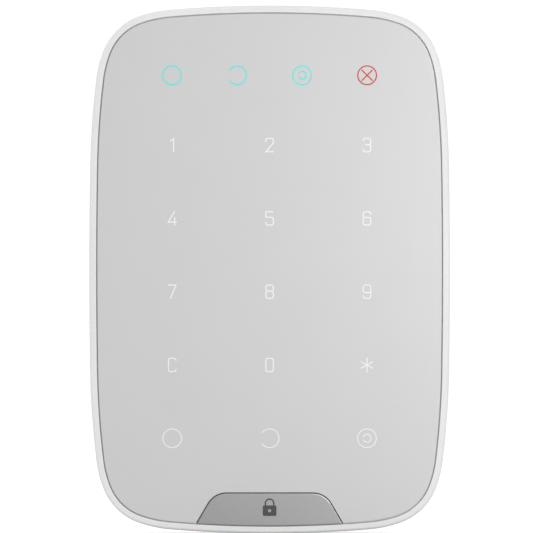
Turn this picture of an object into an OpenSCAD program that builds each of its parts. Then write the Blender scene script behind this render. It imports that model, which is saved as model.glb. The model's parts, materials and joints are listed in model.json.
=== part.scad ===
// Alarm keypad panel that slides onto a wall bracket.
// Sketches are drawn in the wall plane: x to the right, y up, and the third
// axis is the distance from the wall. upright() then stands them up, so that
// the wall is the plane Y = 0, the front faces -Y and Z points up.

/* [Body] */
// Width of the keypad
body_w = 102.7; // [101:0.1:106]
// Height of the keypad
body_h = 150.3; // [149:0.1:156]
// Distance from the wall to the front of the rim
body_d = 14; // [14:0.1:16]
// Visible width of the white rim round the panel
rim_w = 2; // [1.6:0.1:2.2]
// Width of the dark gap between rim and panel
panel_gap = 0.35; // [0.2:0.05:0.4]

/* [Outline] */
// Radius at the middle of the long sides
side_radius = 1735; // [1500:5:2000]
// Radius of the rest of the long sides
side_blend_radius = 245; // [220:1:270]
// Radius of the shoulder between a side and a corner
side_shoulder_radius = 32.4; // [28:0.1:36]
// Radius of the corners
corner_radius = 16.7; // [14:0.1:20]
// Radius of the shoulder between a corner and an end
end_shoulder_radius = 36.1; // [32:0.1:40]
// Radius of the top and bottom ends
end_radius = 336; // [300:1:380]

/* [Legends] */
// Line width of digits
stroke = 0.32; // [0.25:0.01:0.45]
// Line width of status icons
status_stroke = 0.35; // [0.25:0.01:0.45]
// Line width of mode rings
mode_stroke = 0.26; // [0.2:0.01:0.4]
// Height of a digit
digit_h = 4.1; // [3.5:0.1:5]
// Width of a digit
digit_w = 2.45; // [2:0.05:3]
// Radius of an icon ring, at the middle of its line
icon_r = 2.66; // [2.4:0.01:3]
// Distance between key columns
key_pitch_x = 27.7; // [26:0.1:28]
// Distance between key rows
key_pitch_y = 20.85; // [19:0.05:21]

/* [Badge] */
// Half the width of the badge's top edge, to the point where its sides meet it
badge_half_w = 15.71; // [12:0.01:17]
// Height of the badge's top edge above the centre
badge_top = -63.63; // [-65:0.01:-63]
// Slope of the badge's sides
badge_slope = 59.6; // [50:0.1:70]
// Radius of the badge's upper corners
badge_corner = 6; // [3:0.1:7]
// Width of the seam round the badge
badge_gap = 0.22; // [0.2:0.01:0.4]

/* [Wall bracket] */
// Thickness of the bracket's rim and bosses
bracket_t = 1.9; // [1.8:0.05:1.95]
// Thickness of the bracket's web
web_t = 1.2; // [1:0.1:1.4]
// How far the keypad slides up to come off its hooks
slide_travel = 8; // [7.5:0.1:8]
// Radius of the wall screw holes
wall_hole_r = 2; // [1.8:0.1:2.2]
// Distance between wall screw holes, across
wall_hole_x = 56; // [52:1:58]
// Distance between wall screw holes, up
wall_hole_y = 122; // [118:1:124]
// End-to-end length of the adjustment slots
slot_length = 10; // [8:0.5:12]
// Distance between the adjustment slots
slot_spacing = 28; // [26:1:32]

/* [Batteries] */
// Diameter of a cell
cell_d = 10.3; // [9.8:0.1:10.3]
// Distance between neighbouring cells
cell_pitch = 10.8; // [10.7:0.1:10.8]

/* [Hidden] */
$fn = 48;
overcut = 0.5;

// Outline: six tangent arcs from the middle of a side to the middle of an end.
arc_radii = [
    side_radius, side_blend_radius, side_shoulder_radius,
    corner_radius, end_shoulder_radius, end_radius
];
arc_turns = [0.96, 6, 14.7, 49.44, 14.05, 4.85];
arc_steps = [2, 4, 4, 10, 4, 3];
function turned_before(i) = i == 0 ? 0 : turned_before(i - 1) + arc_turns[i - 1];
function arc_width(i) = arc_radii[i] * (cos(turned_before(i)) - cos(turned_before(i + 1)));
function arc_height(i) = arc_radii[i] * (sin(turned_before(i + 1)) - sin(turned_before(i)));
function total(values, i = 0) = i < len(values) ? values[i] + total(values, i + 1) : 0;
chain_w = total([for (i = [0:5]) arc_width(i)]);
chain_h = total([for (i = [0:5]) arc_height(i)]);
stretch = [body_w / 2 / chain_w, body_h / 2 / chain_h];
function arc_centre(i) =
    i == 0
    ? [chain_w - arc_radii[0], 0]
    : arc_centre(i - 1)
        + (arc_radii[i - 1] - arc_radii[i]) * [cos(turned_before(i)), sin(turned_before(i))];
function unit(v) = v / norm(v);
// A ray is a point of the outline and its outward normal.
function ray(i, turn) =
    let (
        p = arc_centre(i) + arc_radii[i] * [cos(turn), sin(turn)],
        n = unit([cos(turn) / stretch.x, sin(turn) / stretch.y])
    ) [[p.x * stretch.x, p.y * stretch.y], n];
function flipped(r, sx, sy) = [[r[0].x * sx, r[0].y * sy], [r[1].x * sx, r[1].y * sy]];
quarter = [
    for (i = [0:5], k = [0:arc_steps[i] - 1])
        ray(i, turned_before(i) + arc_turns[i] * k / arc_steps[i])
];
last = len(quarter) - 1;
end_ray = [[0, body_h / 2], [0, 1]];
rays = concat(
    quarter,
    [end_ray],
    [for (i = [last:-1:0]) flipped(quarter[i], -1, 1)],
    [for (i = [1:last]) flipped(quarter[i], -1, -1)],
    [flipped(end_ray, 1, -1)],
    [for (i = [last:-1:1]) flipped(quarter[i], 1, -1)]
);
function outline(inset) = [for (r = rays) r[0] - inset * r[1]];

// Distances from the wall.
back_face = 2.1;
back_inner = 3.4;
seam_rear = 7.45;
seam_front = 7.55;
bulge_face = 0.5;
bulge_inner = 1.3;
board_rear = 8;
board_front = 9;
chassis_rear = 6.2;
chassis_plate = [body_d - 3, body_d - 2.25];
ledge_rear = body_d - 3.4;
ledge_front = body_d - 1.1;
sensor_z = [body_d - 2.15, body_d - 1.65];
guide_z = [body_d - 1.58, body_d - 1.18];
film_z = [body_d - 1.14, body_d - 1.04];
panel_z = [body_d - 1.02, body_d - 0.1];
legend_depth = 0.3;
legend_proud = 0.03;
badge_drop = 0.08;

// Insets from the outline.
panel_inset = rim_w + panel_gap;
ledge_inset = rim_w + 1.3;
stack_inset = ledge_inset + 0.2;
shell_wall = rim_w - 0.1;
bracket_inset = 3.4;
bracket_rim = 2;
board_inset = 5.4;

// Battery bay.
bay_low = -41.4;
bay_high = 7.8;
bay_mid = (bay_low + bay_high) / 2;
bay_w = 43.8;
bay_wall = 1.2;
cell_z = bulge_inner + 0.1 + cell_d / 2;
cell_len = 43.6;
nub_len = 0.9;
nub_r = 1.9;
contact_size = 8;
tab_t = 0.4;
spring_base_t = 0.3;
cell_foot = 4.25;

// Hooks, in bracket positions at rest.
hook_x = 37;
hook_feet = [38, -52];
hook_w = 8;
hook_post = 2;
hook_reach = 7;
hook_lip = [back_inner + 0.15, back_inner + 1.55];
hook_play = 0.2;

// Buttons on the back of the housing.
button_y = -14;
tamper_at = [35, button_y];
power_at = [-35, button_y];
button_hole_r = 3.2;
button_r = 3.1;
dome_r = 3.5;
ramp_slope = 1 / 8;
tamper_tip = bracket_t + 0.05;
switch_face = board_rear - 1.1;
actuator_face = switch_face - 0.3;

// Screws.
case_screw_at = [[39, 57], [-39, 57], [41, -36], [-41, -36]];
case_seat = 4.6;
board_screw_at = [[20, 58], [-20, 58], [39, 16], [-39, 16]];

// Rows and columns of legends.
digit_rows = [for (row = [0:3]) 35.4 - row * key_pitch_y];
status_y = 55.25;
status_x = [for (k = [-1.5:1:1.5]) k * 18.5];
mode_y = -48;
columns = [-key_pitch_x, 0, key_pitch_x];

module upright() rotate([90, 0, 0]) children();
module slab(low, high) translate([0, 0, low]) linear_extrude(high - low) children();
// Turns a sketch of height against distance from the wall and runs it along x.
module along_x(length) rotate([90, 0, 90]) linear_extrude(length) children();
module disc(centre, r, low, high) {
    translate([centre.x, centre.y, low]) cylinder(h = high - low, r = r);
}
module block(centre, size, low, high) {
    translate([centre.x - size.x / 2, centre.y - size.y / 2, low])
        cube([size.x, size.y, high - low]);
}
module rounded(size, r) {
    square([size.x, size.y - 2 * r], center = true);
    square([size.x - 2 * r, size.y], center = true);
    for (sx = [-1, 1], sy = [-1, 1])
        translate([sx * (size.x / 2 - r), sy * (size.y / 2 - r)]) circle(r = r);
}
module band(outer_inset, inner_inset) {
    difference() {
        polygon(outline(outer_inset));
        polygon(outline(inner_inset));
    }
}
// Skin through one ring of the outline for each [inset, distance] of a section.
// A closed section makes a hoop; an open one is capped at both ends.
module wrap(section, closed) {
    n = len(rays);
    m = len(section);
    points = [for (s = section, p = outline(s[0])) [p.x, p.y, s[1]]];
    sides = [
        for (j = [0:closed ? m - 1 : m - 2], i = [0:n - 1])
            let (above = (j + 1) % m, beside = (i + 1) % n)
            [j * n + i, j * n + beside, above * n + beside, above * n + i]
    ];
    caps = closed ? [] : [[for (i = [n - 1:-1:0]) i], [for (i = [0:n - 1]) (m - 1) * n + i]];
    polyhedron(points, concat(sides, caps));
}
// Points of a quarter ellipse, from its side to its end.
function quarter_ellipse(centre, rx, rz, steps) = [
    for (k = [0:steps])
        let (turn = 90 * k / steps)
        [centre[0] - rx * cos(turn), centre[1] + rz * sin(turn)]
];
// Round wire wound about the third axis, tapering from start_r to end_r.
module coil(start_r, end_r, length, turns, wire) {
    rings = turns * 14;
    sides = 6;
    points = [
        for (k = [0:rings], s = [0:sides - 1])
            let (
                share = k / rings,
                turn = 360 * turns * share,
                lean = 360 * s / sides,
                r = start_r + (end_r - start_r) * share + wire / 2 * cos(lean)
            )
            [r * cos(turn), r * sin(turn), wire / 2 + (length - wire) * share + wire / 2 * sin(lean)]
    ];
    skins = [
        for (k = [0:rings - 1], s = [0:sides - 1])
            let (beside = (s + 1) % sides)
            [k * sides + s, k * sides + beside, (k + 1) * sides + beside, (k + 1) * sides + s]
    ];
    ends = [[for (s = [sides - 1:-1:0]) s], [for (s = [0:sides - 1]) rings * sides + s]];
    polyhedron(points, concat(skins, ends));
}

// Lines of a given width through a list of points, with mitred corners.
function across(v) = [-v.y, v.x];
function mitre(a, b) = let (half = unit(a + b)) half / (half * a);
function side_normal(path, i) =
    let (
        before = i > 0 ? across(unit(path[i] - path[i - 1])) : undef,
        after = i < len(path) - 1 ? across(unit(path[i + 1] - path[i])) : undef
    )
    is_undef(before) ? after : is_undef(after) ? before : mitre(before, after);
module line(path, width = stroke) {
    left = [for (i = [0:len(path) - 1]) path[i] + side_normal(path, i) * width / 2];
    right = [for (i = [len(path) - 1:-1:0]) path[i] - side_normal(path, i) * width / 2];
    polygon(concat(left, right));
}
function arc_path(centre, r, from, to, steps = 6) = [
    for (k = [0:steps])
        let (turn = from + (to - from) * k / steps)
        centre + r * [cos(turn), sin(turn)]
];
module ring(r, width = stroke) {
    difference() {
        circle(r = r + width / 2);
        circle(r = r - width / 2);
    }
}
module open_ring(r, half_gap, width = stroke) {
    line(arc_path([0, 0], r, half_gap - 180, 180 - half_gap, 28), width);
}

// Digits, centred on their own middle.
gx = (digit_w - stroke) / 2;
gy = (digit_h - stroke) / 2;
bend = 0.62;
module box_stroke(low, high) {
    mid = [0, (low + high) / 2];
    translate(mid)
        difference() {
            rounded([2 * gx + stroke, high - low + stroke], bend + stroke / 2);
            rounded([2 * gx - stroke, high - low - stroke], bend - stroke / 2);
        }
}
module glyph_0() box_stroke(-gy, gy);
module glyph_1() line([[0.4, -gy - stroke / 2], [0.4, gy - 0.05], [-0.62, gy - 0.85]]);
module glyph_2() {
    line(concat(
        [[-gx, gy - 1.05]],
        arc_path([-gx + bend, gy - bend], bend, 180, 90),
        arc_path([gx - bend, gy - bend], bend, 90, 0),
        [[gx, 0.62], [-gx + 0.08, -gy], [gx + stroke / 2, -gy]]
    ));
}
module glyph_3() {
    line(concat(
        [[-gx, gy - 0.8]],
        arc_path([-gx + bend, gy - bend], bend, 180, 90),
        arc_path([gx - bend, gy - bend], bend, 90, 0),
        arc_path([gx - bend, 0.1 + bend], bend, 0, -90),
        [[-0.45, 0.1]]
    ));
    line(concat(
        arc_path([gx - bend, 0.1 - bend], bend, 90, 0),
        arc_path([gx - bend, -gy + bend], bend, 0, -90),
        arc_path([-gx + bend, -gy + bend], bend, -90, -180),
        [[-gx, -gy + 0.8]]
    ));
}
module glyph_4() {
    upright_x = 0.72;
    line([[upright_x, gy + stroke / 2], [-gx - 0.05, -1.05], [gx + 0.25, -1.05]]);
    line([[upright_x, 0.3], [upright_x, -gy - stroke / 2]]);
}
module glyph_5() {
    line(concat(
        [[gx, gy], [-gx, gy], [-gx, 0.35]],
        arc_path([gx - bend, 0.35 - bend], bend, 90, 0),
        arc_path([gx - bend, -gy + bend], bend, 0, -90),
        arc_path([-gx + bend, -gy + bend], bend, -90, -180),
        [[-gx, -gy + 0.8]]
    ));
}
module glyph_6() {
    box_stroke(-gy, 0.3);
    line(concat(
        [[-gx, -0.6]],
        arc_path([-gx + bend, gy - bend], bend, 180, 90),
        arc_path([gx - bend, gy - bend], bend, 90, 0),
        [[gx, gy - 0.8]]
    ));
}
module glyph_7() line([[-gx - stroke / 2, gy], [gx, gy], [-0.55, -gy - stroke / 2]]);
module glyph_8() {
    box_stroke(-gy, 0.15);
    box_stroke(0.15, gy);
}
module glyph_9() rotate(180) glyph_6();
module glyph_clear() {
    line(concat(
        [[gx, gy - 0.75]],
        arc_path([gx - bend, gy - bend], bend, 0, 90),
        arc_path([-gx + bend, gy - bend], bend, 90, 180),
        arc_path([-gx + bend, -gy + bend], bend, 180, 270),
        arc_path([gx - bend, -gy + bend], bend, 270, 360),
        [[gx, -gy + 0.75]]
    ));
}
module glyph_star() {
    for (turn = [90, 30, -30])
        rotate(turn) square([turn == 90 ? digit_h : 3.95, stroke], center = true);
}
module digit_sketch() {
    translate([columns[0], digit_rows[0]]) glyph_1();
    translate([columns[1], digit_rows[0]]) glyph_2();
    translate([columns[2], digit_rows[0]]) glyph_3();
    translate([columns[0], digit_rows[1]]) glyph_4();
    translate([columns[1], digit_rows[1]]) glyph_5();
    translate([columns[2], digit_rows[1]]) glyph_6();
    translate([columns[0], digit_rows[2]]) glyph_7();
    translate([columns[1], digit_rows[2]]) glyph_8();
    translate([columns[2], digit_rows[2]]) glyph_9();
    translate([columns[0], digit_rows[3]]) glyph_clear();
    translate([columns[1], digit_rows[3]]) glyph_0();
    translate([columns[2], digit_rows[3]]) glyph_star();
}

// The three states: armed, disarmed and night mode.
inner_icon_r = 1.12;
module state_icon(k, width) {
    if (k == 1) open_ring(icon_r, 33, width);
    else ring(icon_r, width);
    if (k == 2) open_ring(inner_icon_r, 19, width);
}
module mode_sketch() {
    for (k = [0:2]) translate([columns[k], mode_y]) state_icon(k, mode_stroke);
}
module status_sketch() {
    for (k = [0:2]) translate([status_x[k], status_y]) state_icon(k, status_stroke);
}
module fault_sketch() {
    translate([status_x[3], status_y]) {
        ring(icon_r, status_stroke);
        for (turn = [45, -45]) rotate(turn) square([4.4, status_stroke], center = true);
    }
}
module legend_inlay() {
    slab(panel_z[1] - legend_depth, panel_z[1] + legend_proud) children();
}

// Badge: a trapezium with round upper corners, cut off by the frame's rim.
module badge_sketch(grow) {
    half_tangent = badge_corner * tan(badge_slope / 2);
    arc_x = badge_half_w - half_tangent;
    arc_y = badge_top - badge_corner;
    r = badge_corner + grow;
    shoulder = arc_path([arc_x, arc_y], r, 90, 90 - badge_slope, 8);
    reach = 16;
    foot = shoulder[8] + reach * [cos(badge_slope), -sin(badge_slope)];
    right_side = concat(shoulder, [foot]);
    left_side = [for (i = [len(right_side) - 1:-1:0]) [-right_side[i].x, right_side[i].y]];
    intersection() {
        polygon(concat(right_side, left_side));
        polygon(outline(rim_w + badge_gap - grow));
    }
}
// Plain padlock: a round-cornered body and a bow above it.
module padlock_sketch() {
    translate([0, -68.6]) {
        difference() {
            rounded([3.9, 3], 0.4);
            circle(r = 0.45);
        }
        line(concat([[-1.2, 1.45]], arc_path([0, 2.1], 1.2, 180, 0, 12), [[1.2, 1.45]]), 0.42);
    }
}

// Wall bracket.
window_size = [bay_w + 5.2, bay_high - bay_low + 4.8 + slide_travel + 2];
window_mid = [0, bay_mid + (slide_travel + 1) / 2];
wall_holes = [for (sx = [-1, 1], sy = [-1, 1]) [sx * wall_hole_x / 2, sy * wall_hole_y / 2]];
slot_at = [for (sx = [-1, 1]) [sx * slot_spacing / 2, 47]];
tamper_hole = [tamper_at.x, button_y - 10];
tongue_half_w = 7.5;
tongue_low = tamper_hole.y - 6.5;
seat_r = 4.6;
module hook() {
    along_x(hook_w)
        polygon([
            [0, web_t / 2],
            [hook_post, web_t / 2],
            [hook_post, hook_lip[0]],
            [hook_reach, hook_lip[0] + 0.2],
            [hook_reach, hook_lip[1] - 0.5],
            [hook_reach - 0.9, hook_lip[1]],
            [0, hook_lip[1]]
        ]);
}
// Countersunk hole for a wall screw.
module screw_seat(at) {
    sink = 1.2;
    disc(at, wall_hole_r, -overcut, bracket_t + overcut);
    translate([at.x, at.y, bracket_t - sink]) cylinder(h = sink, r1 = wall_hole_r, r2 = 3.5);
    disc(at, 3.5, bracket_t, bracket_t + overcut);
}
// Row of slits that lets the tongue break away from the bracket.
module perforation() {
    slit = [1, 5.5];
    for (side = [-1, 1], k = [0:3])
        block([tamper_at.x + side * tongue_half_w, tongue_low + 4 + k * 7], slit,
              -overcut, bracket_t + overcut);
    for (side = [-1, 1])
        block([tamper_at.x + side * 3.6, tongue_low], [slit.y, slit.x], -overcut,
              bracket_t + overcut);
}
module tamper_ramp() {
    start = button_y - 0.4;
    run = 12;
    translate([tamper_at.x - 3.7, 0, 0])
        along_x(7.4)
            polygon([
                [start, bracket_t],
                [start + run, bracket_t - run * ramp_slope],
                [start + run, bracket_t + overcut],
                [start, bracket_t + overcut]
            ]);
}
// Shallow pockets in the wall side: [centre, size] of each. They leave the rim, the screw
// bosses and an arrow that points up standing proud.
pocket_depth = 0.4;
wall_pockets = [
    [[0, 62], [40, 11]], [[0, 32.5], [46, 14]], [[0, -58], [40, 16]],
    [[34, 49.3], [16, 8.6]], [[-34, 49.3], [16, 8.6]], [[36, 19], [15, 26]], [[-36, 19], [15, 26]],
    [[36, -39.5], [15, 10]], [[-36, -39.5], [15, 10]], [[-36, -14], [15, 32]]
];
module up_arrow() {
    polygon([[-3, 0.2], [0, 3.8], [3, 0.2], [1.1, 0.2], [1.1, -3.8], [-1.1, -3.8], [-1.1, 0.2]]);
}
module pocket_sketch() {
    difference() {
        for (pocket = wall_pockets) translate(pocket[0]) rounded(pocket[1], 1.5);
        translate(wall_pockets[0][0]) up_arrow();
    }
}
module wall_bracket() upright() color("whitesmoke") {
    difference() {
        union() {
            slab(0, web_t) polygon(outline(bracket_inset));
            slab(0, bracket_t) band(bracket_inset, bracket_inset + bracket_rim);
            block(window_mid, window_size + [4, 4], 0, bracket_t);
            for (at = wall_holes) disc(at, seat_r, 0, bracket_t);
            for (at = slot_at) block(at, [slot_length + 4, 8], 0, bracket_t);
            block([tamper_at.x, (tongue_low + 2) / 2], [17, 1 - tongue_low], 0, bracket_t);
            for (sx = [-1, 1], foot = hook_feet)
                block([sx * hook_x, foot + 1], [hook_w + 3, 6], 0, bracket_t);
            for (y = [58, 66, -58, -66]) block([0, y], [40, 1.2], 0, bracket_t);
        }
        block(window_mid, window_size, -overcut, bracket_t + overcut);
        for (at = wall_holes) screw_seat(at);
        screw_seat(tamper_hole);
        for (at = slot_at) {
            straight = slot_length - 2 * wall_hole_r;
            block(at, [straight, 2 * wall_hole_r], -overcut, bracket_t + overcut);
            for (sx = [-1, 1])
                disc(at + [sx * straight / 2, 0], wall_hole_r, -overcut, bracket_t + overcut);
        }
        perforation();
        tamper_ramp();
        slab(-overcut, pocket_depth) pocket_sketch();
    }
    for (sx = [-1, 1], foot = hook_feet)
        translate([sx * hook_x - hook_w / 2, foot, 0]) hook();
}

// Rear cover: a dished shell with the battery bulge on its back.
bulge_size = [bay_w + 3.2, bay_high - bay_low + 3.6];
module rear_shell() {
    back_round = quarter_ellipse([3, 6], 2.75, -(6 - back_face), 6);
    wrap(concat(
        [[4.6, back_inner], [2.6, 4.4], [shell_wall, 6], [shell_wall, seam_rear]],
        [[0.35, seam_rear], [0.15, seam_rear - 0.25]],
        back_round
    ), false);
}
module hook_slot(foot) {
    low = foot - slide_travel - hook_play;
    high = foot + hook_post + hook_play;
    for (sx = [-1, 1])
        block([sx * hook_x, (low + high) / 2], [hook_w + 2 * hook_play, high - low],
              back_face - overcut, back_inner + overcut);
}
module rear_cover() upright() color("white") difference() {
    union() {
        rear_shell();
        slab(bulge_face, back_face + 0.3) translate([0, bay_mid]) rounded(bulge_size, 3);
        for (at = case_screw_at) disc(at, 4, back_inner - 0.2, case_seat + 1.4);
        for (sx = [-1, 1]) {
            block([sx * 27, 38], [1.2, 48], back_inner - 0.2, 4.4);
            block([sx * 20, -57], [1.2, 18], back_inner - 0.2, 4.4);
        }
    }
    slab(bulge_inner, back_inner + overcut)
        translate([0, bay_mid]) rounded(bulge_size - [2, 2], 2);
    for (foot = hook_feet) hook_slot(foot);
    for (at = case_screw_at) {
        disc(at, 2.9, back_face - overcut, case_seat);
        disc(at, 1.6, case_seat - overcut, case_seat + 1.4 + overcut);
    }
    disc(tamper_at, button_hole_r, back_face - overcut, back_inner + overcut);
    disc(power_at, button_hole_r, back_face - overcut, back_inner + overcut);
    disc(buzzer_at, 0.8, back_face - overcut, back_inner + overcut);
    for (k = [0:5])
        disc(buzzer_at + 2.6 * [cos(60 * k), sin(60 * k)], 0.8, back_face - overcut,
             back_inner + overcut);
}

module front_frame() upright() color("white") {
    edge = quarter_ellipse([0.8, body_d - 1.3], 0.8, 1.3, 5);
    wrap(concat(
        [[shell_wall, seam_front], [shell_wall, ledge_rear], [ledge_inset, ledge_rear]],
        [[ledge_inset, ledge_front], [rim_w, ledge_front], [rim_w, body_d - 0.12]],
        [[rim_w - 0.12, body_d]],
        [for (k = [5:-1:0]) edge[k]],
        [[0, 9], [0.15, seam_front + 0.25], [0.35, seam_front]]
    ), true);
}

module touch_panel() upright() color("lightgray") difference() {
    slab(panel_z[0], panel_z[1]) difference() {
        polygon(outline(panel_inset));
        badge_sketch(badge_gap);
    }
    slab(panel_z[1] - legend_depth, panel_z[1] + overcut) {
        digit_sketch();
        mode_sketch();
        status_sketch();
        fault_sketch();
    }
}
module digit_legends() upright() color("white") legend_inlay() digit_sketch();
module mode_legends() upright() color("white") legend_inlay() mode_sketch();
module status_legends() upright() color("turquoise") legend_inlay() status_sketch();
module fault_legend() upright() color("indianred") legend_inlay() fault_sketch();

module badge_plate() upright() color("darkgray") difference() {
    slab(panel_z[0], panel_z[1] - badge_drop) badge_sketch(0);
    slab(panel_z[1] - badge_drop - 0.25, panel_z[1] + overcut) padlock_sketch();
}
module badge_symbol() upright() color("dimgray") {
    slab(panel_z[1] - badge_drop - 0.25, panel_z[1] - badge_drop + legend_proud)
        padlock_sketch();
}

// The adhesive runs round the panel and along the seam between panel and badge.
badge_glue = 1;
module panel_adhesive() upright() color("gray") slab(ledge_front, panel_z[0]) {
    band(panel_inset + 0.1, ledge_inset);
    intersection() {
        polygon(outline(panel_inset + 0.1));
        difference() {
            badge_sketch(badge_gap + badge_glue);
            badge_sketch(-badge_glue);
        }
    }
}
module diffuser_film() upright() color("white") slab(film_z[0], film_z[1]) difference() {
    polygon(outline(stack_inset));
    badge_sketch(badge_gap + badge_glue + 0.1);
}

// Light guide, sensor board and lamps.
lamp_at = [for (x = [-28, -9.3, 9.3, 28], y = [64, -56.5]) [x, y]];
lamp_size = [3, 1];
module light_guide() upright() color("aliceblue") difference() {
    slab(guide_z[0], guide_z[1]) polygon(outline(stack_inset));
    for (at = lamp_at) block(at, lamp_size + [0.4, 0.4], guide_z[0] - overcut, guide_z[1] + overcut);
    for (x = status_x)
        block([x, status_y], [2, 2], guide_z[0] - overcut, guide_z[1] + overcut);
}
module backlight_leds() upright() color("lemonchiffon") {
    for (at = lamp_at) block(at, lamp_size, sensor_z[1], guide_z[1] - 0.05);
}
module status_leds() upright() color("lemonchiffon") {
    for (x = status_x) block([x, status_y], [1.6, 1.6], sensor_z[1], guide_z[1] - 0.05);
}
module touch_electrodes() upright() color("goldenrod") {
    slab(sensor_z[1], sensor_z[1] + 0.05)
        for (x = columns, y = concat(digit_rows, [mode_y]))
            translate([x, y]) rounded([15, 12], 2);
}
module sensor_board() upright() color("darkgreen") {
    slab(sensor_z[0], sensor_z[1]) polygon(outline(stack_inset));
}
module board_connector() upright() color("black") {
    block([0, 62], [20, 4.4], board_front, sensor_z[0]);
}

// Inner chassis: the plate behind the sensor board, the battery bay and posts.
module inner_chassis() upright() color("silver") difference() {
    union() {
        slab(chassis_plate[0], chassis_plate[1]) polygon(outline(stack_inset));
        slab(chassis_rear, chassis_plate[1]) band(stack_inset, stack_inset + 1.2);
        block([0, bay_mid], [bay_w + 2 * bay_wall, bay_high - bay_low + 2 * bay_wall],
              back_inner + 0.2, chassis_plate[1]);
        for (at = case_screw_at) disc(at, 3.2, case_seat + 1.45, chassis_plate[1]);
        for (at = board_screw_at) disc(at, 2.6, board_front, chassis_plate[1]);
        for (x = [-14, 14]) block([x, -56], [1.2, 26], chassis_rear, chassis_plate[1]);
        block([0, -57], [70, 1.2], chassis_rear, chassis_plate[1]);
        slab(ledge_rear - 1.15, ledge_rear - 0.05)
            intersection() {
                band(shell_wall + 0.3, stack_inset + 0.6);
                union() {
                    for (y = [-30, 30]) translate([0, y]) square([body_w, 8], center = true);
                    square([12, body_h], center = true);
                }
            }
    }
    block([0, bay_mid], [bay_w, bay_high - bay_low], back_inner - overcut, body_d);
    block([0, 62], [21, 5.4], chassis_plate[0] - overcut, body_d);
    for (at = case_screw_at) disc(at, 1.15, case_seat, chassis_plate[0] - 0.6);
    for (at = board_screw_at) disc(at, 0.9, board_front - overcut, chassis_plate[0] - 0.2);
}

// Batteries. Every second cell is turned over.
module at_cell_ends() {
    for (k = [0:3])
        translate([(k - 1.5) * cell_pitch, bay_mid, cell_z])
            rotate(k % 2 == 0 ? 0 : 180)
                translate([0, bay_low - bay_mid, 0])
                    rotate([-90, 0, 0]) children();
}
module battery_cells() upright() color("slategray") at_cell_ends() {
    translate([0, 0, cell_foot]) cylinder(h = cell_len, d = cell_d);
    translate([0, 0, cell_foot + cell_len]) cylinder(h = nub_len, r = nub_r);
}
module battery_springs() upright() color("gainsboro") at_cell_ends() {
    translate([0, 0, spring_base_t / 2])
        cube([contact_size, contact_size, spring_base_t], center = true);
    translate([0, 0, spring_base_t - 0.1])
        coil(3.1, 1.6, cell_foot - spring_base_t + 0.05, 3, 0.6);
}
module battery_tabs() upright() color("gainsboro") at_cell_ends() {
    translate([0, 0, bay_high - bay_low - tab_t / 2])
        cube([contact_size, contact_size, tab_t], center = true);
}

// Main board: a U round the top of the battery bay, with a leg behind each button.
buzzer_at = [0, 23];
module main_board() upright() color("green") difference() {
    slab(board_rear, board_front) intersection() {
        polygon(outline(board_inset));
        union() {
            translate([-50, 11.5]) square([100, 54]);
            for (sx = [-1, 1]) translate([sx * 36 - 10.5, -25]) square([21, 40]);
        }
    }
    for (at = case_screw_at) disc(at, 3.8, board_rear - overcut, board_front + overcut);
    for (at = board_screw_at) disc(at, 1.15, board_rear - overcut, board_front + overcut);
}
module controller_chip() upright() color("black") {
    block([-14, 42], [9, 9], board_rear - 1, board_rear);
}
module radio_module() upright() color("silver") {
    block([17, 35], [18, 22], board_rear - 0.8, board_rear);
    block([17, 33], [15, 15], board_rear - 3, board_rear - 0.8);
}
// Two folded metal strips that stand on the top of the main board.
module antennas() upright() color("gold") {
    for (sx = [-1, 1]) {
        block([sx * 21, 52], [22, 0.5], board_rear - 2.6, board_rear);
        block([sx * 10.25, 49.5], [0.5, 5.5], board_rear - 2.6, board_rear);
    }
}
module small_components() upright() color("tan") {
    for (x = [-36, -30, 30, 36]) disc([x, 26], 2.1, board_rear - 2.2, board_rear);
    for (k = [0:4]) block([-22 + 3.4 * k, 30], [1.2, 2.2], board_rear - 0.8, board_rear);
    block([-22, 20], [5, 5], board_rear - 2, board_rear);
    block([-26, 42], [5, 3.2], board_rear - 1.2, board_rear);
    for (k = [0:3]) block([13 + 3.4 * k, 18], [2.4, 1.4], board_rear - 0.9, board_rear);
}
module buzzer() upright() color("black") difference() {
    disc(buzzer_at, 6, board_rear - 3.2, board_rear);
    disc(buzzer_at, 1, board_rear - 3.2 - overcut, board_rear - 2);
}

module push_switch(at) {
    block(at, [6, 6], switch_face, board_rear);
    disc(at, 1.5, actuator_face, switch_face);
}
module tamper_switch() upright() color("darkslategray") push_switch(tamper_at);
module power_switch() upright() color("darkslategray") push_switch(power_at);
// Domed plunger, drawn pressed in by the bracket.
module tamper_button() upright() color("ivory") {
    dome_turn = asin(button_r / dome_r);
    dome = [
        for (k = [0:6])
            let (turn = dome_turn * k / 6)
            [dome_r * sin(turn), tamper_tip + dome_r * (1 - cos(turn))]
    ];
    translate([tamper_at.x, tamper_at.y, 0])
        rotate_extrude()
            polygon(concat(dome, [
                [button_r, 4.5], [4.4, 4.5], [4.4, 5.1], [0.8, 5.1], [0.8, 5.9], [0, 5.9]
            ]));
}
module tamper_spring() upright() color("gainsboro") {
    translate([tamper_at.x, tamper_at.y, 5.12]) coil(1.6, 1.25, 1.44, 2, 0.3);
}
module power_button() upright() color("lightgray") {
    translate([power_at.x, power_at.y, 0])
        rotate_extrude()
            polygon([
                [0, 2.55], [1.9, 2.4], [2.7, 2.3], [button_r, 2.6], [button_r, 3.45],
                [4.2, 3.45], [4.2, 4], [0.9, 4], [0.9, 6.05], [0, 6.05]
            ]);
}

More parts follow.
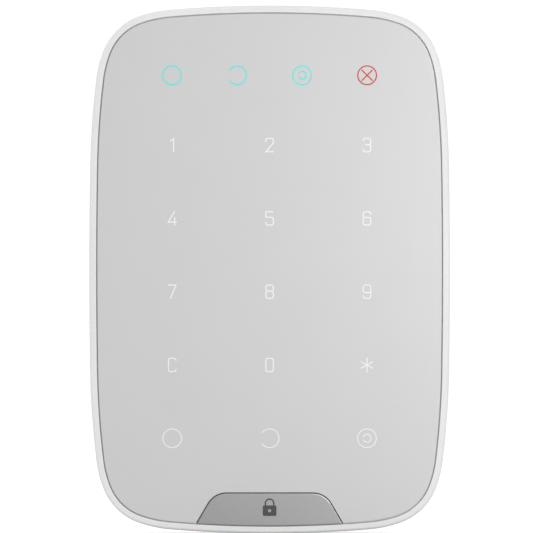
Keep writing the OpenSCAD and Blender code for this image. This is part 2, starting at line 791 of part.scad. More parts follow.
module cross_recess(at, span, low, high) {
    block(at, [span, span / 4], low, high);
    block(at, [span / 4, span], low, high);
}
module case_screws() upright() color("silver") {
    for (at = case_screw_at) {
        difference() {
            disc(at, 2.6, case_seat - 1.8, case_seat);
            cross_recess(at, 2.8, case_seat - 1.8 - overcut, case_seat - 0.8);
        }
        disc(at, 1.1, case_seat, chassis_plate[0] - 0.8);
    }
}
module board_screws() upright() color("silver") {
    for (at = board_screw_at) {
        difference() {
            disc(at, 1.9, board_rear - 1, board_rear);
            cross_recess(at, 2, board_rear - 1 - overcut, board_rear - 0.5);
        }
        disc(at, 0.85, board_rear, chassis_plate[0] - 0.4);
    }
}
module rating_label() upright() color("whitesmoke") {
    slab(bulge_face - 0.08, bulge_face) translate([0, bay_mid]) rounded([36, 26], 1.5);
}

wall_bracket();
rear_cover();
front_frame();
touch_panel();
badge_plate();
badge_symbol();
digit_legends();
mode_legends();
status_legends();
fault_legend();
panel_adhesive();
diffuser_film();
light_guide();
backlight_leds();
status_leds();
touch_electrodes();
sensor_board();
board_connector();
inner_chassis();
battery_cells();
battery_springs();
battery_tabs();
main_board();
controller_chip();
radio_module();
antennas();
small_components();
buzzer();
tamper_switch();
tamper_button();
tamper_spring();
power_switch();
power_button();
case_screws();
board_screws();
rating_label();
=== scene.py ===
import json
import math

import bmesh
import bpy
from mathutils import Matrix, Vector, geometry


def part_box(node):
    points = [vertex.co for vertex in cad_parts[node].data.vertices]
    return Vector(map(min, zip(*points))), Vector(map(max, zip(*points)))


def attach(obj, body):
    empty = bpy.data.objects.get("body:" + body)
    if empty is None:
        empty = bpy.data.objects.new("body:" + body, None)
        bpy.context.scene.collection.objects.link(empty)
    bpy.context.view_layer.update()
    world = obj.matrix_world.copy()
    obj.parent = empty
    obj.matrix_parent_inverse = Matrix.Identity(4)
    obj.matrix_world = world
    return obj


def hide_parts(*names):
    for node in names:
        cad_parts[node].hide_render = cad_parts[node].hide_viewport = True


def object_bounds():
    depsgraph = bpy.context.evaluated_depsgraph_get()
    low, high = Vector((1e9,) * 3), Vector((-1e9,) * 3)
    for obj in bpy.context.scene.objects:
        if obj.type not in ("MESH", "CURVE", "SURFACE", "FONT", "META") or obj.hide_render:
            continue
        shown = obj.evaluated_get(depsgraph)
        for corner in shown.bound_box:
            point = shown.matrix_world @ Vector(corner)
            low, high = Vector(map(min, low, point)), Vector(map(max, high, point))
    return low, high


# An alarm keypad panel on its wall bracket. The front frame, the touch panel, the badge and the rear
# cover are made here as closed skins, and the other pieces stay CAD nodes.

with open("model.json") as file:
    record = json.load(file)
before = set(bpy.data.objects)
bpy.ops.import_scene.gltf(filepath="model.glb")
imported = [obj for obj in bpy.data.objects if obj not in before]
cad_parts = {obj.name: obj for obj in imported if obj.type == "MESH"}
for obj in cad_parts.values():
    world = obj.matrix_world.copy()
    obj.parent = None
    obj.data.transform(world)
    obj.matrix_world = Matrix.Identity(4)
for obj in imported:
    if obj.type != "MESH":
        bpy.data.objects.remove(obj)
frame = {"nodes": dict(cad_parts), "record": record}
cad_box = [list(corner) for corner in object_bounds()]
scene = bpy.context.scene
MM = 0.001

# ---------------------------------------------------------------- sizes, in mm
# Sketches lie in the wall plane, x to the right and y up. Depth is the distance from the wall, and
# inset is the distance inwards from a loop.


def span(node):
    """Depths of a CAD node's back and front."""
    low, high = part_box(node)
    return -high.y / MM, -low.y / MM


REAR_BACK, REAR_SEAM = span("rear_cover")
FRAME_SEAM, FRAME_FRONT = span("front_frame")
PANEL_BACK, PANEL_FRONT = span("touch_panel")
BADGE_BACK, BADGE_FRONT = span("badge_plate")

# Outline: radius, turn in degrees and steps of each arc, from mid-side to mid-end.
ARCS = (
    (1735, 0.96, 6), (245, 6, 12), (32.4, 14.7, 8),
    (16.7, 49.44, 20), (36.1, 14.05, 8), (336, 4.85, 8),
)

# Housing: the depths of the dish's bottom, the insets of the wall's inside, the rim's inside and the
# panel, and the ledge behind the panel.
DISH_BACK, DISH_INSIDE = 2.1, 3.4
SHELL_WALL = 1.9
RIM = 2.0
PANEL_INSET = 2.35
LEDGE_INSET = 3.3
LEDGE_BACK, LEDGE_FRONT = 10.6, 12.9

# Badge: its top edge and half of that edge's width before its corners are rounded, the slope of the
# sides, the corners' radius, and the seam round it.
BADGE_TOP = -63.63
BADGE_HALF_WIDTH = 15.71
BADGE_SLOPE = math.radians(59.6)
BADGE_CORNER = 6.0
BADGE_GAP = 0.22

# Widths of the plates' rounded front edges.
PANEL_EDGE = 0.06
BADGE_EDGE = 0.17

# Rear cover: slots for the bracket's hooks, and holes for the buttons, the buzzer and the case
# screws. Each place is a centre, and each round hole has its radius here.
HOOK_SLOTS = [(x, y) for x in (-37, 37) for y in (35, -55)]
HOOK_SLOT_SIZE, HOOK_SLOT_CORNER = (8.4, 10.4), 0.5
BUTTONS = ((-35, -14), (35, -14))
BUTTON_HOLE = 3.2
SOUND_MIDDLE = (0, 23)
SOUND_RING, SOUND_HOLE = 2.6, 0.8
CASE_SCREWS = ((39, 57), (-39, 57), (41, -36), (-41, -36))
SCREW_SEAT, SCREW_BORE, SCREW_BOSS = 2.9, 1.6, 4
SEAT_DEPTH, BOSS_DEPTH = 4.6, 6

# The battery bulge, and the walls round its cavity.
BULGE_WIDTH, BULGE_HEIGHT, BULGE_CORNER = 47, 52.8, 3
BULGE_SIDE_WALL, BULGE_BACK_WALL = 1, 0.8

# ---------------------------------------------------------------- loops


def outline():
    """The keypad's outline, anticlockwise from the middle of the right side, at the CAD's size."""
    quarter = [Vector((0, 0))]
    turn = 0.0
    for radius, sweep, steps in ARCS:
        centre = quarter[-1] - radius * Vector((math.cos(turn), math.sin(turn)))
        for k in range(1, steps + 1):
            angle = turn + math.radians(sweep) * k / steps
            quarter.append(centre + radius * Vector((math.cos(angle), math.sin(angle))))
        turn += math.radians(sweep)
    low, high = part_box("front_frame")
    end = quarter[-1]
    scale_x = (high.x - low.x) / 2 / MM / -end.x
    scale_y = (high.z - low.z) / 2 / MM / end.y
    quarter = [Vector(((p.x - end.x) * scale_x, p.y * scale_y)) for p in quarter]
    there, back = quarter[:-1], quarter[:0:-1]
    return (
        there + [Vector((-p.x, p.y)) for p in back]
        + [Vector((-p.x, -p.y)) for p in there] + [Vector((p.x, -p.y)) for p in back]
    )


def circle(x, y, radius, steps=32):
    turns = (2 * math.pi * k / steps for k in range(steps))
    return [Vector((x + radius * math.cos(a), y + radius * math.sin(a))) for a in turns]


def rectangle(x, y, width, height, radius, steps=6):
    """A rectangle with round corners."""
    loop = []
    for k, (sx, sy) in enumerate(((1, 1), (-1, 1), (-1, -1), (1, -1))):
        cx = x + sx * (width / 2 - radius)
        cy = y + sy * (height / 2 - radius)
        for j in range(steps + 1):
            angle = math.radians(90 * (k + j / steps))
            loop.append(Vector((cx + radius * math.cos(angle), cy + radius * math.sin(angle))))
    return loop


def inset(loop, distance):
    """An anticlockwise loop moved inwards, with mitred corners."""
    moved = []
    for before, here, after in zip(loop[-1:] + loop[:-1], loop, loop[1:] + loop[:1]):
        a = (here - before).normalized().orthogonal()
        b = (after - here).normalized().orthogonal()
        moved.append(here + distance * (a + b) / (1 + a.dot(b)))
    return moved


def crossing(start, end, loop):
    """Where a line crosses a loop: the index of the loop's point before it, and the place."""
    for i, point in enumerate(loop):
        hit = geometry.intersect_line_line_2d(start, end, point, loop[(i + 1) % len(loop)])
        if hit is not None:
            return i, Vector(hit)
    raise ValueError("the line doesn't cross the loop")


def badge_edge(grow, steps=10, foot_reach=16):
    """The badge's free edge, from its right foot over the top to its left foot. The feet reach past
    the outline."""
    tangent = BADGE_CORNER * math.tan(BADGE_SLOPE / 2)
    centre = Vector((BADGE_HALF_WIDTH - tangent, BADGE_TOP - BADGE_CORNER))
    radius = BADGE_CORNER + grow
    turns = [math.pi / 2 - BADGE_SLOPE * (1 - k / steps) for k in range(steps + 1)]
    shoulder = [centre + radius * Vector((math.cos(a), math.sin(a))) for a in turns]
    foot = shoulder[0] + foot_reach * Vector((math.cos(BADGE_SLOPE), -math.sin(BADGE_SLOPE)))
    right = [foot] + shoulder
    return right + [Vector((-p.x, p.y)) for p in reversed(right)]


def split_outline(distance, grow):
    """The outline at an inset, cut by the badge's edge: the panel's loop and the badge's loop."""
    loop, edge = inset(OUTLINE, distance), badge_edge(grow)
    i, right = crossing(edge[0], edge[1], loop)
    j, left = crossing(edge[-1], edge[-2], loop)
    over = [right] + edge[1:-1] + [left]
    panel = loop[:j + 1] + over[::-1] + loop[i + 1:]
    badge = loop[j + 1:i + 1] + over
    return panel, badge


def bend(start, corner, end, steps=4):
    """Points of a section round a corner, from start to end."""
    s, c, e = Vector(start), Vector(corner), Vector(end)
    turns = (math.pi / 2 * k / steps for k in range(steps + 1))
    return [tuple(c + (s - c) * (1 - math.sin(a)) + (e - c) * (1 - math.cos(a))) for a in turns]


OUTLINE = outline()

# ---------------------------------------------------------------- skins

SHARP_ANGLE = math.radians(35)  # an edge that turns by more than this stays sharp


def shade_evenly(piece):
    even = piece.modifiers.new("even_shading", "WEIGHTED_NORMAL")
    even.keep_sharp = True


class Skin:
    """A closed skin put together from walls along loops and flat faces between loops."""

    DIGITS = 4  # decimals of a mm to which two points have to agree to be one point
    LEAST_EDGE = 1e-8  # metres; shorter edges are dissolved

    def __init__(self):
        self.points = []
        self.places = {}
        self.faces = []

    def point(self, p, depth):
        key = tuple(round(value, self.DIGITS) for value in (p.x, p.y, depth))
        if key not in self.places:
            self.places[key] = len(self.points)
            self.points.append((p.x * MM, -depth * MM, p.y * MM))
        return self.places[key]

    def wall(self, loop, section, hoop=False):
        """Skin along a loop, through each (inset, depth) of a section."""
        rows = [[self.point(p, depth) for p in inset(loop, away)] for away, depth in section]
        for low, high in zip(rows, rows[1:] + (rows[:1] if hoop else [])):
            for i in range(len(loop)):
                self.faces.append((low[i - 1], low[i], high[i], high[i - 1]))

    def flat(self, depth, *loops):
        """Flat skin inside the first loop and outside the others."""
        corners = [self.point(p, depth) for loop in loops for p in loop]
        flat_loops = [[Vector((p.x, p.y, 0)) for p in loop] for loop in loops]
        for face in geometry.tessellate_polygon(flat_loops):
            self.faces.append([corners[i] for i in face])

    def finish(self, name, node, body, slot):
        """Makes the piece that is shown in a CAD node's place."""
        mesh = bpy.data.meshes.new(name)
        mesh.from_pydata(self.points, [], self.faces)
        skin = bmesh.new()
        skin.from_mesh(mesh)
        bmesh.ops.dissolve_degenerate(skin, dist=self.LEAST_EDGE, edges=skin.edges)
        bmesh.ops.recalc_face_normals(skin, faces=skin.faces)
        for face in skin.faces:
            face.smooth = True
        skin.to_mesh(mesh)
        skin.free()
        mesh.set_sharp_from_angle(angle=SHARP_ANGLE)
        piece = bpy.data.objects.new(name, mesh)
        scene.collection.objects.link(piece)
        shade_evenly(piece)
        piece.data.materials.append(looks[slot])
        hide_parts(node)
        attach(piece, body)


def front_frame():
    """A hoop: the wall's inside, the ledge, the rim, the round front edge and the outside."""
    rim_round, rim_flat = 0.12, 0.4
    front_inset, front_drop = 0.8, 1.3
    side_foot, seam_rise, seam_inset = 1, 0.55, 0.35
    skin = Skin()
    skin.wall(OUTLINE, [
        (SHELL_WALL, FRAME_SEAM), (SHELL_WALL, LEDGE_BACK),
        (LEDGE_INSET, LEDGE_BACK), (LEDGE_INSET, LEDGE_FRONT), (RIM, LEDGE_FRONT),
        *bend((RIM, FRAME_FRONT - rim_round), (RIM, FRAME_FRONT), (RIM - rim_round, FRAME_FRONT)),
        (RIM - rim_flat, FRAME_FRONT),
        *bend((front_inset, FRAME_FRONT), (0, FRAME_FRONT), (0, FRAME_FRONT - front_drop), 10),
        (0, FRAME_SEAM + side_foot),
        *bend((0, FRAME_SEAM + seam_rise), (0, FRAME_SEAM), (seam_inset, FRAME_SEAM), 5),
    ], hoop=True)
    skin.finish("front_hoop", "front_frame", "keypad", "white_plastic")


def plate(name, node, slot, loop, back, front, edge):
    """A flat plate with a rounded front edge."""
    back_band, flat_band = 0.2, 0.35
    skin = Skin()
    skin.wall(loop, [
        (0, back), (0, back + back_band),
        *bend((0, front - edge), (0, front), (edge, front)),
        (edge + flat_band, front),
    ])
    skin.flat(back, loop)
    skin.flat(front, inset(loop, edge + flat_band))
    skin.finish(name, node, "keypad", slot)


class RearCover(Skin):
    """A dish behind the frame: its wall, its bottom with holes, and the battery bulge."""

    BACK_EDGE, INSIDE_EDGE = 3.7, 5.0  # insets of the bottom's flat faces

    def __init__(self):
        super().__init__()
        self.back_holes = []
        self.inside_holes = []
        self.shell()
        for x, y in HOOK_SLOTS:
            self.hole(rectangle(x, y, *HOOK_SLOT_SIZE, HOOK_SLOT_CORNER), lip=0.15, ring=0.3)
        for x, y in BUTTONS:
            self.hole(circle(x, y, BUTTON_HOLE), lip=0.25, ring=0.6)
        self.sound_holes()
        for x, y in CASE_SCREWS:
            self.screw_boss(x, y)
        self.battery_bulge()
        self.flat(DISH_BACK, inset(OUTLINE, self.BACK_EDGE), *self.back_holes)
        self.flat(DISH_INSIDE, inset(OUTLINE, self.INSIDE_EDGE), *self.inside_holes)

    def shell(self):
        """From the bottom's inside up the wall, over the seam and down to the bottom's back."""
        slope_foot, slope_top = (4.6, DISH_INSIDE), (2.6, 4.4)
        wall_corner, wall_foot = (SHELL_WALL, 4.6), (SHELL_WALL, 6)
        seam_flat, seam_round, seam_side, seam_drop = 0.45, 0.35, 0.15, 0.25
        side, side_foot, back_inset = 0.2, 6.2, 3.2
        self.wall(OUTLINE, [
            (self.INSIDE_EDGE, DISH_INSIDE), slope_foot,
            *bend(slope_top, wall_corner, wall_foot),
            (SHELL_WALL, REAR_SEAM), (seam_flat, REAR_SEAM),
            *bend((seam_round, REAR_SEAM), (seam_side, REAR_SEAM), (seam_side, REAR_SEAM - seam_drop)),
            *bend((side, side_foot), (side, DISH_BACK), (back_inset, DISH_BACK), 14),
            (self.BACK_EDGE, DISH_BACK),
        ])

    def hole(self, loop, lip, ring, end=DISH_INSIDE):
        """A hole from the back face with a round lip, in a ring of flat skin."""
        self.wall(loop, [
            (-ring, DISH_BACK),
            *bend((-lip, DISH_BACK), (0, DISH_BACK), (0, DISH_BACK + lip), 3),
            (0, end),
        ])
        self.back_holes.append(inset(loop, -ring))
        if end == DISH_INSIDE:
            self.inside_holes.append(loop)

    def sound_holes(self):
        """Six holes in a ring round a seventh."""
        middle_x, middle_y = SOUND_MIDDLE
        for k in range(7):
            turn = math.radians(60 * k)
            reach = SOUND_RING if k < 6 else 0
            x = middle_x + reach * math.cos(turn)
            y = middle_y + reach * math.sin(turn)
            self.hole(circle(x, y, SOUND_HOLE, steps=20), lip=0.15, ring=0.3)

    def screw_boss(self, x, y):
        """A counterbored screw hole through a boss on the bottom's inside."""
        seat, bore, boss = (circle(x, y, radius) for radius in (SCREW_SEAT, SCREW_BORE, SCREW_BOSS))
        self.hole(seat, lip=0.25, ring=0.5, end=SEAT_DEPTH)
        self.flat(SEAT_DEPTH, seat, bore)
        self.wall(bore, [(0, SEAT_DEPTH), (0, BOSS_DEPTH)])
        self.flat(BOSS_DEPTH, boss, bore)
        self.wall(boss, [(0, BOSS_DEPTH), (0, DISH_INSIDE)])
        self.inside_holes.append(boss)

    def battery_bulge(self):
        """A box with round edges behind the bottom, open to the inside."""
        foot_ring, foot_round, foot_drop = 1.0, 0.6, 0.5
        back_round, back_flat = 0.6, 1.0
        label_low, label_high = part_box("rating_label")
        middle_y = (label_low.z + label_high.z) / 2 / MM
        bulge = rectangle(0, middle_y, BULGE_WIDTH, BULGE_HEIGHT, BULGE_CORNER)
        self.wall(bulge, [
            (-foot_ring, DISH_BACK),
            *bend((-foot_round, DISH_BACK), (0, DISH_BACK), (0, DISH_BACK - foot_drop), 5),
            *bend((0, REAR_BACK + back_round), (0, REAR_BACK), (back_round, REAR_BACK), 5),
            (back_flat, REAR_BACK),
        ])
        self.flat(REAR_BACK, inset(bulge, back_flat))
        self.back_holes.append(inset(bulge, -foot_ring))
        width, height = (size - 2 * BULGE_SIDE_WALL for size in (BULGE_WIDTH, BULGE_HEIGHT))
        cavity = rectangle(0, middle_y, width, height, BULGE_CORNER - BULGE_SIDE_WALL)
        cavity_back = REAR_BACK + BULGE_BACK_WALL
        self.wall(cavity, [(0, DISH_INSIDE), (0, cavity_back)])
        self.flat(cavity_back, cavity)
        self.inside_holes.append(cavity)


# ---------------------------------------------------------------- materials

NOISE_RANGE = (0.3, 0.7)  # the values of noise between which colours and roughness change


def shader(name):
    """A new node material: itself, its node tree and its Principled shader."""
    mat = bpy.data.materials.new(name)
    mat.use_nodes = True
    return mat, mat.node_tree, mat.node_tree.nodes["Principled BSDF"]


def add(tree, kind, **settings):
    """A new node, with its sockets and properties set by name."""
    node = tree.nodes.new(kind)
    for key, value in settings.items():
        if key in node.inputs:
            node.inputs[key].default_value = value
        else:
            setattr(node, key, value)
    return node


def noise(tree, size_mm, detail=2.0, stretch=(1, 1, 1)):
    """Noise with grains of about size_mm, in the piece's own coordinates."""
    place = add(tree, "ShaderNodeTexCoord")
    scale = add(tree, "ShaderNodeMapping", Scale=stretch)
    grain = add(tree, "ShaderNodeTexNoise", Scale=1 / (size_mm * MM), Detail=detail)
    tree.links.new(place.outputs["Object"], scale.inputs["Vector"])
    tree.links.new(scale.outputs["Vector"], grain.inputs["Vector"])
    return grain.outputs["Fac"]


def blended(tree, factor, low, high):
    """Colour from low to high over the noise's range."""
    ramp = add(tree, "ShaderNodeValToRGB")
    for element, position, colour in zip(ramp.color_ramp.elements, NOISE_RANGE, (low, high)):
        element.position = position
        element.color = (*colour, 1)
    tree.links.new(factor, ramp.inputs["Fac"])
    return ramp.outputs["Color"]


def between(tree, factor, low, high):
    """Value from low to high over the noise's range."""
    spread = add(tree, "ShaderNodeMapRange")
    sockets = ("From Min", "From Max", "To Min", "To Max")
    for socket, value in zip(sockets, (*NOISE_RANGE, low, high)):
        spread.inputs[socket].default_value = value
    tree.links.new(factor, spread.inputs["Value"])
    return spread.outputs["Result"]


def bump(tree, bsdf, height, strength, depth_mm=0.02):
    node = add(tree, "ShaderNodeBump", Strength=strength, Distance=depth_mm * MM)
    tree.links.new(height, node.inputs["Height"])
    tree.links.new(node.outputs["Normal"], bsdf.inputs["Normal"])


def mixed(tree, factor, first, second):
    """Two colours, sockets or constants, mixed by a factor."""
    mix = add(tree, "ShaderNodeMix", data_type="RGBA")
    tree.links.new(factor, mix.inputs[0])
    # A mix node has sockets for each type of data. Inputs 6 and 7 and output 2 are for colours.
    for socket, colour in zip(mix.inputs[6:8], (first, second)):
        if isinstance(colour, tuple):
            socket.default_value = (*colour, 1)
        else:
            tree.links.new(colour, socket)
    return mix.outputs[2]


def above(tree, value, limit):
    """1 where a value is above a limit, and 0 elsewhere."""
    test = add(tree, "ShaderNodeMath", operation="GREATER_THAN")
    test.inputs[1].default_value = limit
    tree.links.new(value, test.inputs[0])
    return test.outputs[0]


def height_from(tree, level_mm):
    """Distance in mm, up or down, from a level in the piece's own coordinates."""
    place = add(tree, "ShaderNodeTexCoord")
    parts = add(tree, "ShaderNodeSeparateXYZ")
    shift = add(tree, "ShaderNodeMath", operation="MULTIPLY_ADD")
    shift.inputs[1].default_value = 1 / MM
    shift.inputs[2].default_value = -level_mm
    size = add(tree, "ShaderNodeMath", operation="ABSOLUTE")
    tree.links.new(place.outputs["Object"], parts.inputs["Vector"])
    tree.links.new(parts.outputs["Z"], shift.inputs[0])
    tree.links.new(shift.outputs[0], size.inputs[0])
    return size.outputs[0]


def grey(level):
    return (level, level, level)


def moulded(name, colour, rough, grain_mm=0.35, texture=0.25, mottle=0.02, metal=0.0, shine=0.5):
    """Moulded plastic or plated metal: fine grain, slight colour and gloss variation."""
    mottle_mm, smoother, rougher = 18, 0.04, 0.05
    mat, tree, bsdf = shader(name)
    low = [c * (1 - mottle) for c in colour]
    high = [min(1, c * (1 + mottle)) for c in colour]
    tint = blended(tree, noise(tree, mottle_mm, detail=3), low, high)
    tree.links.new(tint, bsdf.inputs["Base Color"])
    fine = noise(tree, grain_mm, detail=3)
    gloss = between(tree, fine, rough - smoother, rough + rougher)
    tree.links.new(gloss, bsdf.inputs["Roughness"])
    bump(tree, bsdf, fine, texture)
    bsdf.inputs["Metallic"].default_value = metal
    bsdf.inputs["Specular IOR Level"].default_value = shine
    return mat


def satin_badge(name, flake_mm=0.3):
    """Satin plate: a fine flake that shows as light and dark specks."""
    mat, tree, bsdf = shader(name)
    flake = noise(tree, flake_mm, detail=4)
    tree.links.new(blended(tree, flake, grey(0.29), grey(0.355)), bsdf.inputs["Base Color"])
    gloss = between(tree, flake, low=0.38, high=0.28)
    tree.links.new(gloss, bsdf.inputs["Roughness"])
    bump(tree, bsdf, flake, strength=0.4)
    bsdf.inputs["Metallic"].default_value = 1.0
    return mat


def board_look(name):
    """Solder mask over fine copper tracks, which break off here and there."""
    pitch_mm, break_mm, mask_mm, gloss_mm = 1.5, 9, 30, 0.4
    dark_mask, light_mask, track = (0.012, 0.13, 0.055), (0.016, 0.16, 0.07), (0.045, 0.27, 0.11)
    bricks = {"Brick Width": 3.2, "Row Height": 0.9, "Mortar Size": 0.11, "Mortar Smooth": 0.2}
    mat, tree, bsdf = shader(name)
    place = add(tree, "ShaderNodeTexCoord")
    turn = add(tree, "ShaderNodeMapping", Rotation=(math.pi / 2, 0, 0))
    tracks = add(tree, "ShaderNodeTexBrick", Scale=1 / (pitch_mm * MM), **bricks)
    tree.links.new(place.outputs["Object"], turn.inputs["Vector"])
    tree.links.new(turn.outputs["Vector"], tracks.inputs["Vector"])
    present = add(tree, "ShaderNodeMath", operation="MULTIPLY")
    tree.links.new(tracks.outputs["Fac"], present.inputs[0])
    unbroken = above(tree, noise(tree, break_mm, detail=1), limit=0.5)
    tree.links.new(unbroken, present.inputs[1])
    mask = blended(tree, noise(tree, mask_mm, detail=2), dark_mask, light_mask)
    tree.links.new(mixed(tree, present.outputs[0], mask, track), bsdf.inputs["Base Color"])
    gloss = between(tree, noise(tree, gloss_mm, detail=3), low=0.3, high=0.38)
    tree.links.new(gloss, bsdf.inputs["Roughness"])
    bump(tree, bsdf, present.outputs[0], strength=0.5, depth_mm=0.035)
    return mat


def cell_look(name):
    """Battery cells: a dark printed jacket with a pale band, and bare steel at the ends."""
    scuff_mm, band_from, bare_from = 2.5, 13.5, 20.4
    dark_jacket, light_jacket = (0.035, 0.05, 0.075), (0.05, 0.068, 0.095)
    band, steel = (0.5, 0.52, 0.54), (0.62, 0.62, 0.63)
    cells_low, cells_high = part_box("battery_cells")
    mat, tree, bsdf = shader(name)
    away = height_from(tree, (cells_low.z + cells_high.z) / 2 / MM)
    scuff = noise(tree, scuff_mm, detail=4, stretch=(1, 1, 0.3))
    jacket = blended(tree, scuff, dark_jacket, light_jacket)
    banded = mixed(tree, above(tree, away, band_from), jacket, band)
    bare = above(tree, away, bare_from)
    tree.links.new(mixed(tree, bare, banded, steel), bsdf.inputs["Base Color"])
    tree.links.new(bare, bsdf.inputs["Metallic"])
    gloss = between(tree, scuff, low=0.26, high=0.36)
    tree.links.new(gloss, bsdf.inputs["Roughness"])
    bump(tree, bsdf, scuff, strength=0.1)
    return mat


MOULDED = {
    "white_plastic": dict(colour=grey(0.70), rough=0.42, texture=0.1),
    "panel_grey": dict(
        colour=grey(0.52), rough=0.34, grain_mm=0.5, texture=0.06, mottle=0.008, shine=1.0),
    "badge_mark": dict(colour=(0.05, 0.05, 0.055), rough=0.25, grain_mm=0.3, texture=0.1),
    "legend_white": dict(colour=grey(0.79), rough=0.5),
    "legend_teal": dict(colour=(0.07, 0.69, 0.67), rough=0.4),
    "legend_red": dict(colour=(0.50, 0.02, 0.02), rough=0.4),
    "adhesive": dict(colour=(0.065, 0.065, 0.067), rough=0.8),
    "film_white": dict(colour=grey(0.88), rough=0.6),
    "clear_plastic": dict(colour=(0.82, 0.86, 0.88), rough=0.12),
    "led_package": dict(colour=(0.88, 0.84, 0.6), rough=0.3),
    "copper": dict(colour=(0.75, 0.45, 0.25), rough=0.3, metal=1.0),
    "black_plastic": dict(colour=grey(0.03), rough=0.5),
    "chassis_plastic": dict(colour=(0.55, 0.56, 0.57), rough=0.5),
    "spring_steel": dict(colour=(0.75, 0.75, 0.76), rough=0.2, metal=1.0),
    "shield_can": dict(colour=grey(0.7), rough=0.3, metal=1.0),
    "antenna_metal": dict(colour=(0.8, 0.64, 0.32), rough=0.25, metal=1.0),
    "component_body": dict(colour=(0.5, 0.38, 0.22), rough=0.5),
    "switch_body": dict(colour=(0.1, 0.12, 0.13), rough=0.45),
    "button_plastic": dict(colour=(0.72, 0.72, 0.7), rough=0.4),
    "screw_steel": dict(colour=grey(0.62), rough=0.3, metal=1.0),
    "label_paper": dict(colour=(0.86, 0.86, 0.85), rough=0.6),
}
looks = {name: moulded(name, **settings) for name, settings in MOULDED.items()}
looks["badge_grey"] = satin_badge("badge_grey")
looks["circuit_board"] = board_look("circuit_board")
looks["cell_jacket"] = cell_look("cell_jacket")

# ---------------------------------------------------------------- pieces

# Widths in mm of the softened edges on CAD nodes.
SOFT_EDGES = {
    "wall_bracket": 0.15, "power_button": 0.1, "tamper_button": 0.1, "case_screws": 0.08,
    "board_screws": 0.05, "rating_label": 0.02, "main_board": 0.08, "inner_chassis": 0.12,
}
WELD_MM = 0.001
FLAT_ANGLE = math.radians(0.5)
CORNER_ANGLE = math.radians(40)


def dress(node, slot):
    """Gives a CAD node its material and smooth shading."""
    mesh = frame["nodes"][node].data
    mesh.materials.clear()
    mesh.materials.append(looks[slot])
    for face in mesh.polygons:
        face.use_smooth = True
    mesh.set_sharp_from_angle(angle=SHARP_ANGLE)


def soften(node, width_mm):
    """Moulded edges on a CAD node: its flat faces made whole, and its corners rounded."""
    cad = frame["nodes"][node]
    weld = cad.modifiers.new("weld", "WELD")
    weld.merge_threshold = WELD_MM * MM
    whole = cad.modifiers.new("whole_faces", "DECIMATE")
    whole.decimate_type = "DISSOLVE"
    whole.angle_limit = FLAT_ANGLE
    edge = cad.modifiers.new("edge", "BEVEL")
    edge.width = width_mm * MM
    edge.segments = 2
    edge.angle_limit = CORNER_ANGLE
    shade_evenly(cad)


def touch_panel():
    """The panel, up to the seam round the badge."""
    loop = split_outline(PANEL_INSET, BADGE_GAP)[0]
    plate("panel_plate", "touch_panel", "panel_grey", loop, PANEL_BACK, PANEL_FRONT, PANEL_EDGE)


def badge_plate():
    """The badge, between the rim and the panel."""
    loop = split_outline(RIM + BADGE_GAP, 0)[1]
    plate("badge_insert", "badge_plate", "badge_grey", loop, BADGE_BACK, BADGE_FRONT, BADGE_EDGE)


for part in frame["record"]["subparts"]:
    dress(part["node"], part["material_slot"])
for node, width in SOFT_EDGES.items():
    soften(node, width)
front_frame()
touch_panel()
badge_plate()
RearCover().finish("rear_dish", "rear_cover", "keypad", "white_plastic")

# ---------------------------------------------------------------- stage, in metres

FLOOR_REACH = 3.0
FLOOR_DROP = 0.4 * MM  # below the keypad
SKY_STRENGTH = 0.75
FLOOR_GLOW, SKY_GLOW = 0.45, 0.3  # white that only the camera sees

# Lamps: the place from the keypad's middle, the radiance and the diameter.
LAMPS = {
    "key": ((0.2, -0.6, 0.05), 8.2, 0.24),
    "top": ((0, -0.12, 0.7), 1.0, 0.6),
    "back": ((-0.45, 0.7, 0.45), 3.0, 0.35),
    "left": ((-0.7, -0.05, 0.15), 1.5, 0.5),
    "right": ((0.7, -0.05, 0.15), 0.8, 0.5),
}

# Camera: how wide it sees at the keypad's front, from how far, its sensor in mm, its shift, which
# puts the keypad slightly off the middle as in the photo, and its clipping distances.
VIEW_WIDTH, VIEW_DISTANCE = 151.6 * MM, 1.2
SENSOR_MM = 36
SHIFT_X, SHIFT_Y = -0.0058, 0.0057
CLIP_START, CLIP_END = 0.05, 20

cad_low, cad_high = (Vector(corner) for corner in cad_box)
middle = (cad_low + cad_high) / 2


def seen_brighter(tree, shader_socket, target, lift):
    """Adds white to what the camera sees directly, so that the backdrop stays white."""
    seen = add(tree, "ShaderNodeLightPath").outputs["Is Camera Ray"]
    glow = add(tree, "ShaderNodeEmission", Strength=lift)
    nothing = add(tree, "ShaderNodeEmission", Strength=0.0)
    choose = add(tree, "ShaderNodeMixShader")
    both = add(tree, "ShaderNodeAddShader")
    tree.links.new(seen, choose.inputs["Fac"])
    tree.links.new(nothing.outputs[0], choose.inputs[1])
    tree.links.new(glow.outputs[0], choose.inputs[2])
    tree.links.new(shader_socket, both.inputs[0])
    tree.links.new(choose.outputs[0], both.inputs[1])
    tree.links.new(both.outputs[0], target)


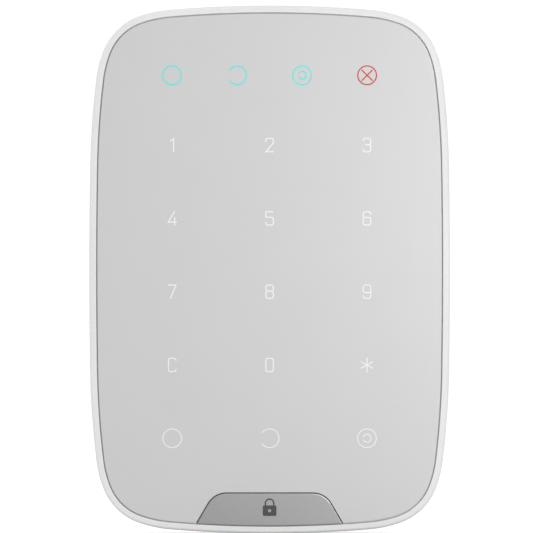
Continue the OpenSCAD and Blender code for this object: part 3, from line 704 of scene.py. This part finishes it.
def floor():
    """A wide plane just below the keypad."""
    corners = ((-1, -1), (1, -1), (1, 1), (-1, 1))
    level = cad_low.z - FLOOR_DROP
    points = [(x * FLOOR_REACH, y * FLOOR_REACH, level) for x, y in corners]
    mesh = bpy.data.meshes.new("floor")
    mesh.from_pydata(points, [], [(0, 1, 2, 3)])
    look = moulded("floor", grey(0.75), rough=0.9, grain_mm=5, texture=0.0, mottle=0.0)
    mesh.materials.append(look)
    obj = bpy.data.objects.new("floor", mesh)
    scene.collection.objects.link(obj)
    nodes = look.node_tree.nodes
    seen_brighter(look.node_tree, nodes["Principled BSDF"].outputs[0],
                  nodes["Material Output"].inputs["Surface"], FLOOR_GLOW)


def sky():
    """White light from all around."""
    world = bpy.data.worlds.new("studio")
    scene.world = world
    world.use_nodes = True
    nodes = world.node_tree.nodes
    background = nodes["Background"]
    background.inputs["Color"].default_value = (1, 1, 1, 1)
    background.inputs["Strength"].default_value = SKY_STRENGTH
    seen_brighter(world.node_tree, background.outputs[0],
                  nodes["World Output"].inputs["Surface"], SKY_GLOW)


def lamp(name, place, radiance, size):
    """A round soft lamp that faces the keypad. Its power is pi times its radiance and its area."""
    data = bpy.data.lights.new(name, "AREA")
    data.shape = "DISK"
    data.size = size
    data.energy = radiance * math.pi * math.pi * size * size / 4
    obj = bpy.data.objects.new(name, data)
    obj.location = middle + Vector(place)
    obj.rotation_mode = "QUATERNION"
    obj.rotation_quaternion = (-Vector(place)).to_track_quat("-Z", "Y")
    obj.visible_camera = False
    scene.collection.objects.link(obj)


def camera():
    """A camera straight in front of the keypad."""
    data = bpy.data.cameras.new("camera")
    data.sensor_width = SENSOR_MM
    data.lens = data.sensor_width * VIEW_DISTANCE / VIEW_WIDTH
    data.shift_x = SHIFT_X
    data.shift_y = SHIFT_Y
    data.clip_start = CLIP_START
    data.clip_end = CLIP_END
    obj = bpy.data.objects.new("camera", data)
    obj.location = (middle.x, cad_low.y - VIEW_DISTANCE, middle.z)
    obj.rotation_euler = (math.radians(90), 0, 0)
    scene.collection.objects.link(obj)
    scene.camera = obj


floor()
sky()
for name, settings in LAMPS.items():
    lamp(name, *settings)
camera()
scene.view_settings.view_transform = "Standard"
